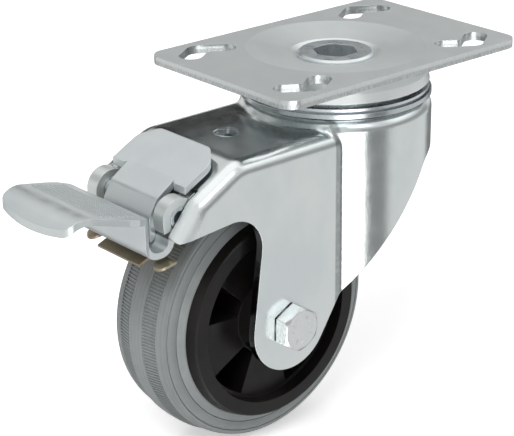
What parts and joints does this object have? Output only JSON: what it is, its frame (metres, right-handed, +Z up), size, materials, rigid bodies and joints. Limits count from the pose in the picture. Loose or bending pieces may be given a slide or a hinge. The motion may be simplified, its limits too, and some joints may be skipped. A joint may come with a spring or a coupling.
{
  "type": "swivel castor",
  "caption": "Swivel castor with a slotted mounting plate, a pressed steel fork, a rubber-tyred plastic wheel and a foot brake on the nose of the fork.",
  "frame": {"origin": "on the swivel axis, level with the mounting face of the plate", "axes": "+Z up along the swivel axis, X along the plate's long side and the rolling direction with the brake and the wheel's trail towards -X, Y along the axle"},
  "size_m": [0.2469, 0.0984, 0.1745],
  "materials": {
    "zinc": "bright zinc plate with a faint blue tint",
    "steel": "ground steel",
    "spring_steel": "brown tempered spring steel",
    "rim": "moulded black plastic",
    "cage": "plain plastic",
    "rubber": "matte grey non-marking rubber"
  },
  "bodies": {
    "plate": {"top_plate": "zinc", "kingpin": "zinc", "upper_race": "zinc", "lower_cup": "zinc"},
    "fork": {"fork": "zinc", "lower_race": "zinc", "dust_seal": "zinc", "upper_balls": "steel", "lower_balls": "steel", "nose_rivet": "zinc", "hinge_pin": "zinc", "brake_spring": "spring_steel", "axle_tube": "steel", "axle_bolt": "zinc", "axle_nut": "zinc", "nut_washer": "zinc"},
    "wheel": {"wheel_rim": "rim", "tyre": "rubber", "roller_cage": "cage", "rollers": "steel"},
    "brake": {"brake_lever": "zinc", "brake_pedal": "zinc"}
  },
  "joints": [
    {"name": "swivel", "type": "hinge", "parent": "plate", "child": "fork", "pos_m": [0, 0, 0], "axis": [0, 0, 1], "continuous": true},
    {"name": "wheel_spin", "type": "hinge", "parent": "fork", "child": "wheel", "pos_m": [-0.0592, 0, -0.112], "axis": [0, 1, 0], "continuous": true},
    {"name": "brake_pedal", "type": "hinge", "parent": "fork", "child": "brake", "pos_m": [-0.1156, 0, -0.0467], "axis": [0, -1, 0], "range_deg": [0, 22], "deforming": ["brake_spring"]}
  ]
}
